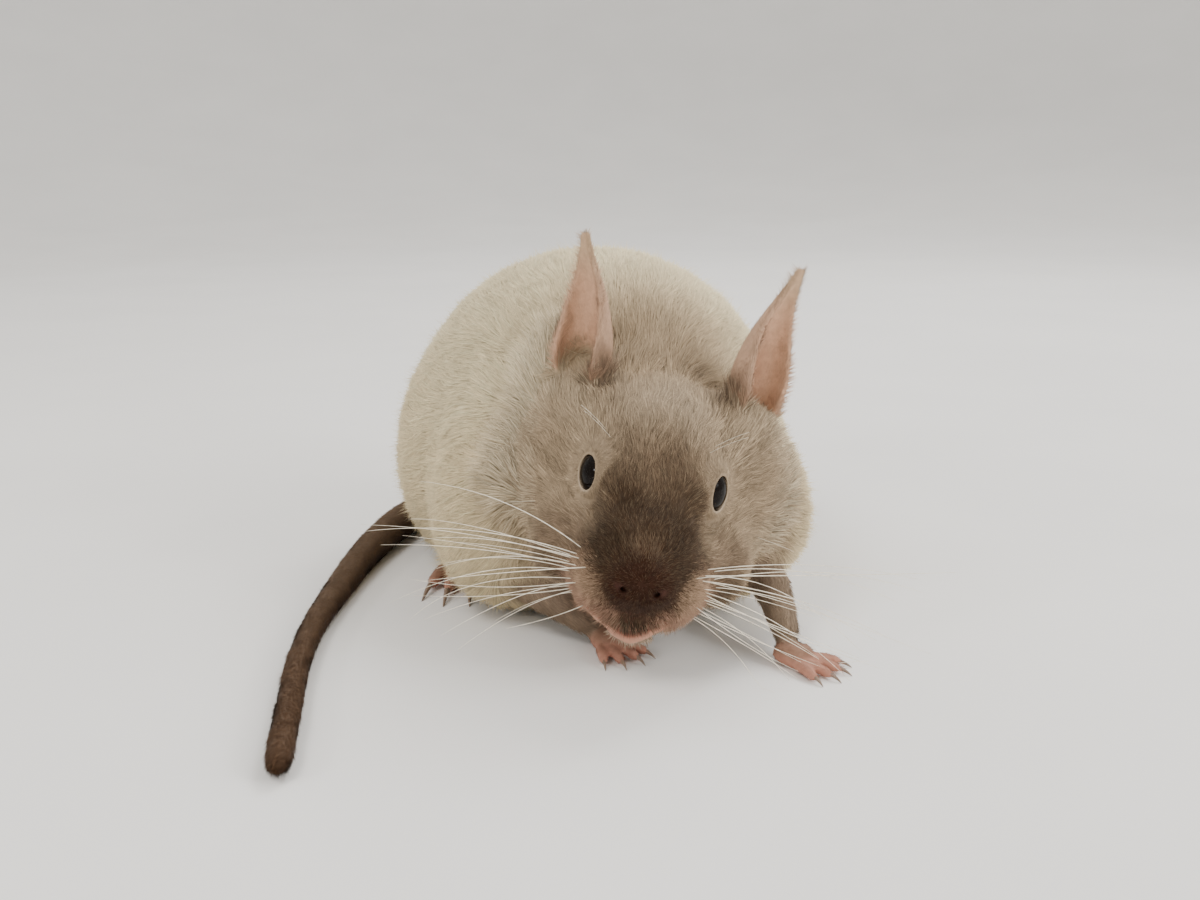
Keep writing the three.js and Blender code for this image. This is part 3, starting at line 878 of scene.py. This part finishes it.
def lie(points, normals, weights):
    """The way the hair points along the skin, as unit vectors."""
    head, world = in_head(points), points / MM
    body, face, ear, paw, tail = weights.T[..., None]
    from_nose = unit(head - FACE_HAIR_FROM)
    from_nose[:, 2] -= 0.25 * step(-head[:, 2], 4, 14)
    mirror = np.where(head[:, :1] < 0, [[-1.0, 1.0, 1.0]], [[1.0, 1.0, 1.0]])
    from_eye = unit(sided(head) - eye_centre()) * mirror
    near_eye = (1 - step(eye_distance(head), 0.6, 4.0))[:, None]
    on_face = turned_by_head(from_nose * (1 - near_eye) + from_eye * near_eye * 1.5)
    outward = unit(world - BODY_HAIR_FROM)
    turn = math.radians(BODY_YAW)
    backward = np.array([-math.sin(turn), math.cos(turn), SLOPE_BACK])
    on_body = unit(outward * 0.8 + backward)
    ear_ways = np.array([EAR_PLACES[side].col[2][:3] for side in (RIGHT, LEFT)])
    ear_sides = np.array([EAR_PLACES[side].col[0][:3] for side in (RIGHT, LEFT)])
    on_left = (head[:, 0] > 0).astype(int)
    _, across, _ = in_ear_cup(points)
    on_ear = ear_ways[on_left] + ear_sides[on_left] * (0.8 * across ** 3)[:, None]
    centres = np.array([place.translation for _, place in PAWS.values()])
    paw_ways = np.array([-place.col[1].xyz for _, place in PAWS.values()])
    apart = np.linalg.norm((points[:, None] - centres)[..., :2], axis=2)
    on_paw = paw_ways[apart.argmin(axis=1)]
    on_tail = nearest_way(world, TAIL_PATH)
    arm = arm_share(world)[:, None]
    on_arm = unit([np.subtract(wrist, elbow) for elbow, wrist in ARMS])[(head[:, 0] < 12).astype(int)]
    on_body = on_body * (1 - arm) + on_arm * arm * 1.5
    way = body * on_body + face * on_face + ear * on_ear + paw * on_paw + tail * on_tail
    side = np.cross(normals, way)
    sway = 0.35 * waves(world, 5, 31) + 0.2 * waves(world, 2, 32)
    way = way + side * sway[:, None]
    way -= normals * (way * normals).sum(axis=1, keepdims=True)
    return unit(way)


# Coat

COAT_SEED = 7
COAT_PIECE_TUFTS = 49000
COAT_SLOTS = {"body": "coat", "head": "face_coat", "ear": "ear_skin", "paw": "paw_skin",
              "tail": "tail_coat"}
# In millimetres, degrees off the skin, and tufts per square millimetre
Coat = namedtuple("Coat", "length width lift density")
BODY_COAT = Coat(5.0, 0.27, 12, 11)
FACE_COAT = Coat(1.5, 0.16, 10, 32)
EAR_COAT = Coat(1.2, 0.12, 8, 8)
PAW_COAT = Coat(1.1, 0.12, 9, 9)
TAIL_COAT = Coat(2.0, 0.17, 8, 13)
TUFT_LONGER = 2.0  # in front of the ears
FOLD_LONGER = 0.6


class Growth:
    """What the coat is like at each point of the skin: millimetres, degrees and tufts per mm2."""

    def __init__(self, points, normals, weights):
        head, world = in_head(points), points / MM
        body, face, ear, paw, tail = weights.T
        side = sided(head)
        back = step(head[:, 1], -17, 12)
        eye = eye_distance(head)
        near_eye = 1 - step(eye, 0.5, 3.5)
        nose = 1 - step(nose_reach(head), 0.8, 1.2)
        beard = step(-head[:, 2], 10, 15) * step(nose_reach(head), 1, 1.3)
        arm = arm_share(world)
        fold = ruff(head)
        ear_base = bump(side, EAR_BASE, (9, 9, 12))
        tuft = np.minimum(bump(side, EAR_FRONT, (5, 6, 7)) * 1.4, 1)
        share, across, _ = in_ear_cup(points)
        fringe = step(np.abs(across), 0.7, 0.95)
        face_length = FACE_COAT.length + 2.4 * back + 0.9 * beard
        face_length = face_length * (1 - 0.6 * near_eye) * (1 - 0.5 * nose)
        face_width = (FACE_COAT.width + 0.10 * back) * (1 - 0.3 * near_eye) * (1 - 0.3 * nose)
        face_lift = FACE_COAT.lift + 3 * back + 8 * nose
        face_density = (FACE_COAT.density - 14 * back) * (1 + 0.6 * near_eye) * (1 + 0.6 * nose)
        body_length = (BODY_COAT.length - 2.4 * ear_base) * (1 - 0.6 * arm)
        ear_length = EAR_COAT.length + 0.6 * fringe + 1.2 * step(-share, -0.35, -0.15)
        self.length = (body * body_length + face * face_length + ear * ear_length
                       + paw * PAW_COAT.length + tail * TAIL_COAT.length
                       + TUFT_LONGER * tuft * (1 - ear) + FOLD_LONGER * fold)
        self.width = (body * (BODY_COAT.width - 0.09 * arm) + face * face_width
                      + ear * EAR_COAT.width + paw * PAW_COAT.width
                      + tail * TAIL_COAT.width)
        self.lift = (body * (BODY_COAT.lift - 2 * arm) + face * face_lift * (1 - 0.5 * near_eye)
                     + ear * (EAR_COAT.lift + 6 * fringe) + paw * PAW_COAT.lift
                     + tail * TAIL_COAT.lift + 10 * tuft + 9 * fold + 8 * beard * face)
        density = (body * (BODY_COAT.density + 4 * arm) + face * face_density
                   + ear * (EAR_COAT.density + 6 * fringe) + paw * PAW_COAT.density
                   + tail * TAIL_COAT.density)
        hidden = step(-normals[:, 2], 0.6, 0.95) * step(-world[:, 2], -6, -1)
        density *= 1 - 0.8 * hidden
        density *= step(eye, 0.4, 0.6)
        height, within = over_mouth(head)
        bare = within * step(height, -2.8, -2) * (1 - step(height, 1.6, 2.4))
        bare = np.maximum(bare, step(bump(side, NOSTRIL_AT, (1.9, 2.2, 1.6)), 0.1, 0.5))
        self.density = np.maximum(density * (1 - bare * np.minimum(face * 2, 1)), 0)


def sprinkled(skin, weights, rng):
    """Roots on the skin: places, normals, region weights and places on the bake map."""
    mesh = skin.data
    corners = numbers(mesh.loops, "vertex_index", 1, int).reshape(-1, 3)
    points = numbers(mesh.vertices, "co", 3).astype(float)
    normals = numbers(mesh.vertices, "normal", 3).astype(float)
    maps = numbers(mesh.uv_layers["OFBake"].data, "uv", 2).astype(float).reshape(-1, 3, 2)
    a, b, c = (points[corners[:, k]] for k in range(3))
    areas = np.linalg.norm(np.cross(b - a, c - a), axis=1) / 2 / MM ** 2
    growth = Growth(points, normals, weights)
    wanted = areas * growth.density[corners].mean(axis=1)
    counts = np.floor(wanted + rng.random(len(wanted))).astype(int)
    faces = np.repeat(np.arange(len(corners)), counts)
    u, v = rng.random((2, len(faces)))
    flip = u + v > 1
    u[flip], v[flip] = 1 - u[flip], 1 - v[flip]
    shares = np.column_stack([1 - u - v, u, v])

    def between(values):
        return np.einsum("nk,nkd->nd", shares, values[corners[faces]])

    uv = np.einsum("nk,nkd->nd", shares, maps[faces])
    return between(points), unit(between(normals)), between(weights), uv


ROOT_SUNK = 0.2
RIDGE = 0.4  # height of a tuft's ridge over its width
OWN_SHADING = 0.3  # how much a tuft is shaded by its own form rather than the skin's
PATCH = 0.0015  # half of a tuft's place on the bake map
TUFT_ON_MAP = [(-0.8, -0.8), (0.8, -0.8), (0, -0.3), (0, 1)]  # of that
TUFT_FACES = [(0, 2, 1), (0, 1, 3), (1, 2, 3), (2, 0, 3)]


def tuft_mesh(name, roots):
    """One joined mesh of closed slivers: a sunk triangle at the root, and a tip."""
    count = len(roots["at"])
    at, normal, way, side = (roots[key] for key in ("at", "normal", "way", "side"))
    length, width = roots["length"][:, None] * MM, roots["width"][:, None] * MM
    rise = roots["rise"][:, None]
    first = way * np.cos(rise) + normal * np.sin(rise)
    up = normal * np.cos(rise) - way * np.sin(rise)
    base = at - normal * ROOT_SUNK * MM
    points = np.empty((count, 4, 3))
    points[:, 0] = base - side * width / 2
    points[:, 1] = base + side * width / 2
    points[:, 2] = base + up * width * RIDGE
    points[:, 3] = at + first * length
    points[..., 2] = np.maximum(points[..., 2], CLEAR_OF_FLOOR)
    faces = (np.arange(count)[:, None, None] * 4 + np.array(TUFT_FACES)).reshape(-1, 3)
    uv = (roots["uv"][:, None] + np.array(TUFT_ON_MAP) * PATCH).reshape(-1, 2)[faces.ravel()]
    mesh = bpy.data.meshes.new(name)
    mesh.vertices.add(count * 4)
    mesh.vertices.foreach_set("co", points.astype(np.float32).ravel())
    mesh.loops.add(faces.size)
    mesh.loops.foreach_set("vertex_index", faces.astype(np.int32).ravel())
    mesh.polygons.add(len(faces))
    mesh.polygons.foreach_set("loop_start", np.arange(0, faces.size, 3, dtype=np.int32))
    mesh.update(calc_edges=True)
    mesh.uv_layers.new(name="OFBake").data.foreach_set("uv", uv.astype(np.float32).ravel())
    colour = np.repeat(np.column_stack([roots["colour"], np.ones(count)]), 4, axis=0)
    set_attribute(mesh, "markings", colour, "FLOAT_COLOR")
    set_attribute(mesh, "along", np.tile([0, 0, 0, 1], count))
    mesh.shade_smooth()
    own = numbers(mesh.vertices, "normal", 3).reshape(-1, 4, 3)
    soft = unit(normal[:, None] + own * OWN_SHADING)
    mesh.normals_split_custom_set_from_vertices(soft.reshape(-1, 3))
    return mesh


SWING = 9  # degrees to the side
STRAYS = 0.03  # share of the hairs that stand out
STRAY_LIFT = 18
CLUMP_SIZE = 1.6
CLUMP_LIFT = 0.22
LOCK_SIZE = 0.7
LOCK_LIFT = 1.8
LIFT_LIMITS = (2, 70)
PALE_SHARE = 0.22  # of the hairs have pale tips
PALE_STRENGTH = 0.55
COLOUR_STRAY = 0.9 * MM  # mixes the hairs where two markings meet


def coat_roots(skin, weights):
    """All that each tuft is made from, as arrays."""
    rng = np.random.default_rng(COAT_SEED)
    at, normal, weight, uv = sprinkled(skin, weights, rng)
    weight = weight / weight.sum(axis=1, keepdims=True)
    growth = Growth(at, normal, weight)
    count = len(at)
    way = lie(at, normal, weight)
    side = np.cross(normal, way)
    swing = np.radians(rng.normal(0, SWING, count))[:, None]
    way = way * np.cos(swing) + side * np.sin(swing)
    body, face = weight[:, 0], weight[:, 1]
    clump = waves(at / MM, CLUMP_SIZE, 41)
    furry = np.clip(body + face * 0.6, 0, 1)
    stray = rng.random(count) < STRAYS * furry
    lock = waves(at / MM, LOCK_SIZE, 43, 14)
    rise = growth.lift * (1 + CLUMP_LIFT * clump) + LOCK_LIFT * lock
    rise = np.radians(np.clip(rise + rng.normal(0, 3, count) + STRAY_LIFT * stray, *LIFT_LIMITS))
    length = growth.length * rng.uniform(0.75, 1.2, count) * np.where(stray, 1.1, 1)
    width = growth.width * rng.uniform(0.75, 1.25, count) * np.where(stray, 0.5, 1)
    shade = 1 + (0.09 + 0.06 * face) * rng.normal(size=count) + 0.05 * clump
    shade += (0.07 + 0.06 * face) * lock + (0.05 + 0.04 * face) * waves(at / MM, 5, 42)
    taken_from = at + rng.normal(0, COLOUR_STRAY, (count, 3)) * np.clip(body + face, 0, 1)[:, None]
    colour = markings(taken_from, weight) * np.clip(shade, 0.55, 1.5)[:, None]
    pale = np.where(rng.random(count) < PALE_SHARE, PALE_STRENGTH, 0.0)
    pale *= np.clip(body * 0.6 + face, 0, 1)
    colour = mixed(colour, np.minimum(colour * 1.3 + TICKING * 0.14, 0.85), pale)
    return {"at": at, "normal": normal, "way": way, "side": np.cross(normal, way), "uv": uv,
            "length": length, "width": width, "rise": rise, "colour": colour, "weight": weight}


def make_coat(skin, weights):
    """The tufts of each region, front to back, in meshes of a limited size."""
    roots = coat_roots(skin, weights)
    region = roots["weight"].argmax(axis=1)
    material = coat_material()
    for index, name in enumerate(REGIONS):
        chosen = np.flatnonzero(region == index)
        pieces = max(1, math.ceil(len(chosen) / COAT_PIECE_TUFTS))
        ordered = chosen[np.argsort(roots["at"][chosen, 1], kind="stable")]
        for number, part in enumerate(np.array_split(ordered, pieces), 1):
            title = f"{name}_coat_{number}" if pieces > 1 else f"{name}_coat"
            mesh = tuft_mesh(title, {key: value[part] for key, value in roots.items()})
            new_object(title, mesh, material, COAT_SLOTS[name])


# Eyes

def make_eyes():
    material = eye_material()
    for side, name in SIDES:
        ball = bmesh.new()
        bmesh.ops.create_uvsphere(ball, u_segments=48, v_segments=32, radius=EYE_SHOWN * MM,
                                  matrix=HEAD @ Matrix.Translation(eye_centre(side) * MM))
        mesh = mesh_from(ball, "eyeball_" + name)
        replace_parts(new_object("eyeball_" + name, mesh, material, "eye"), "eye_" + name)


# Whiskers and claws, as thin tapered tubes

def tapered_tube(bm, path, radii, sides):
    """A closed tube along a few points, with a radius at each."""
    rings = []
    for centre, way, radius in zip(path, np.gradient(path, axis=0), radii):
        across = Vector(way).cross((0.3, 0.2, 1)).normalized()
        over = Vector(way).normalized().cross(across)
        turn = Matrix((across, over, Vector(way).normalized())).transposed().to_4x4()
        ends = radius in (radii[0], radii[-1])
        ring = bmesh.ops.create_circle(bm, cap_ends=ends, segments=sides, radius=radius,
                                       matrix=Matrix.Translation(centre) @ turn)
        rings.append(list({edge for vertex in ring["verts"] for edge in vertex.link_edges}))
    for low, high in zip(rings, rings[1:]):
        bmesh.ops.bridge_loops(bm, edges=low + high)


# Root, way and length of the long single hairs over and behind the left eye
BROW_HAIRS = [((7.5, 1.5, 6), (0.6, -0.25, 0.8), 11), ((9, 4, 6.5), (0.75, 0.0, 0.75), 8),
              ((15, 3, -9), (1, -0.1, 0.0), 12)]
WHISKER_SEED = 3
WHISKER_ROWS = 5
WHISKER_COLUMNS = 4
WHISKER_THICK = 0.095 * MM
WHISKER_THIN = 0.02 * MM
WHISKER_LOWEST = 1.2 * MM
WHISKER_BOW = 1.2 * MM
WHISKER_STRETCH = (0.7, 1.12)
WHISKER_SAG = (-0.05, 0.12)  # besides its droop, of the longest's length
BROW_HAIR_THICK = 0.3  # of a whisker
BROW_HAIR_DROOP = 0.12
WHISKER_COLOUR = srgb(238, 228, 208)
CLAW_COLOUR = srgb(128, 108, 92)


def add_whisker(bm, line, shares, thick):
    """A tube that thins towards its tip and stays above the floor."""
    line[:, 2] = np.maximum(line[:, 2], WHISKER_LOWEST)
    tapered_tube(bm, line, WHISKER_THIN + (thick - WHISKER_THIN) * (1 - shares) ** 0.8, 6)


def make_whiskers():
    rng = np.random.default_rng(WHISKER_SEED)
    shares = np.linspace(0, 1, 15)
    bm = bmesh.new()
    for side in (LEFT, RIGHT):
        for row in range(WHISKER_ROWS):
            for column in range(WHISKER_COLUMNS):
                down = (row + rng.uniform(-0.3, 0.3)) / (WHISKER_ROWS - 1)
                back = (column + 0.5 * (row % 2) + rng.uniform(-0.2, 0.2)) / (WHISKER_COLUMNS - 0.5)
                line = whisker_line(side, down, back, shares, rng.uniform(*WHISKER_STRETCH),
                                    rng.normal(0, 0.07, 3))
                line[:, 2] -= rng.uniform(*WHISKER_SAG) * WHISKER_LENGTH * MM * shares ** 2
                line += rng.normal(0, WHISKER_BOW, 3) * (shares * (1 - shares) * 4)[:, None]
                add_whisker(bm, line, shares, WHISKER_THICK * rng.uniform(0.7, 1.1))
        for at, way, length in BROW_HAIRS:
            root = from_head((side * at[0], *at[1:]))
            line = root + turned_by_head(unit(np.array([side * way[0], *way[1:]]))) * (
                length * MM * shares[:, None])
            line[:, 2] -= BROW_HAIR_DROOP * length * MM * shares ** 2
            add_whisker(bm, line, shares, WHISKER_THICK * BROW_HAIR_THICK)
    bmesh.ops.recalc_face_normals(bm, faces=bm.faces)
    mesh = mesh_from(bm, "whiskers")
    new_object("whiskers", mesh, horn_material("whisker", WHISKER_COLOUR, 0.35), "coat")


def make_claws():
    material = horn_material("claw", CLAW_COLOUR, 0.4)
    shares = np.linspace(0, 1, 8)
    for name in PAWS:
        bm = bmesh.new()
        for root, way, length, radius in claw_roots(name):
            line = np.array(root) + np.array(way) * (length * 1.1 * shares)[:, None]
            radii = radius * 0.9 * (1 - shares) ** 0.7 + 0.04 * MM
            line[:, 2] = np.maximum(line[:, 2] - length * 0.4 * shares ** 2, radii * 1.2)
            tapered_tube(bm, line, radii, 8)
        bmesh.ops.recalc_face_normals(bm, faces=bm.faces)
        new_object("claws_" + name, mesh_from(bm, "claws_" + name), material, "paw_skin")


# Floor and light, in metres and watts

FLOOR_FLAT = 0.8  # radius of the flat floor
FLOOR_BEND = 1.0  # radius at which it turns up
FLOOR_TOP = 1.2
FLOOR_COLOUR = (0.84, 0.825, 0.80)
DAYLIGHT = (1.0, 0.985, 0.96, 1)
DAYLIGHT_STRENGTH = 0.85
# Name, place, the point it shines at, size, power and colour
LAMPS = [("key", (-0.35, -0.45, 0.75), (0, 0, 0.03), 0.3, 3.6, (1, 0.97, 0.93)),
         ("fill", (0.7, -0.3, 0.45), (0, 0, 0.03), 0.5, 4.2, (1, 0.99, 0.97)),
         ("rim", (0.3, 0.5, 0.7), (0, 0, 0.05), 0.4, 4.5, (1, 1, 1)),
         ("eye_light", (0.5, -0.35, 0.3), (0, -0.04, 0.03), 0.06, 0.6, (1, 1, 1)),
         ("eye_light", (-0.5, -0.35, 0.3), (0, -0.04, 0.03), 0.06, 0.6, (1, 1, 1))]


def make_floor():
    """A flat floor that turns up, far away, into a plain round wall."""
    bm = bmesh.new()
    profile = [(0, 0), (0.3, 0), (FLOOR_FLAT, 0)]
    for turn in np.radians(np.arange(10, 91, 10)):
        profile.append((FLOOR_FLAT + FLOOR_BEND * math.sin(turn), FLOOR_BEND * (1 - math.cos(turn))))
    profile.append((FLOOR_FLAT + FLOOR_BEND, FLOOR_TOP))
    line = [bm.verts.new((x, 0, z)) for x, z in profile]
    edges = [bm.edges.new(pair) for pair in zip(line, line[1:])]
    bmesh.ops.spin(bm, geom=line + edges, cent=(0, 0, 0), axis=(0, 0, 1), angle=2 * math.pi,
                   steps=72, use_merge=True)
    bmesh.ops.remove_doubles(bm, verts=bm.verts, dist=1e-5)
    bmesh.ops.recalc_face_normals(bm, faces=bm.faces)
    if sum(face.normal.z for face in bm.faces) < 0:
        bmesh.ops.reverse_faces(bm, faces=bm.faces)
    material, tree, shader = new_material("floor", Roughness=0.8, Specular_IOR_Level=0.15)
    set_base_colour(tree, shader, tint(tree, FLOOR_COLOUR), mottled(tree, 14, 3, 0.98, 1.02))
    new_object("floor", mesh_from(bm, "floor"), material)


def make_lamp(name, at, target, size, power, colour):
    data = bpy.data.lights.new(name, "AREA")
    data.size = size
    data.energy = power
    data.color = colour
    light = new_in_scene(name, data)
    light.location = at
    light.rotation_mode = "QUATERNION"
    light.rotation_quaternion = (Vector(target) - Vector(at)).to_track_quat("-Z", "Y")


def make_light():
    world = bpy.data.worlds.new("studio")
    world.use_nodes = True
    background = world.node_tree.nodes["Background"]
    background.inputs["Color"].default_value = DAYLIGHT
    background.inputs["Strength"].default_value = DAYLIGHT_STRENGTH
    bpy.context.scene.world = world
    for lamp in LAMPS:
        make_lamp(*lamp)


make_camera()
make_floor()
make_light()
skin, skin_weights = dressed_skin()
make_coat(skin, skin_weights)
make_eyes()
make_claws()
make_whiskers()
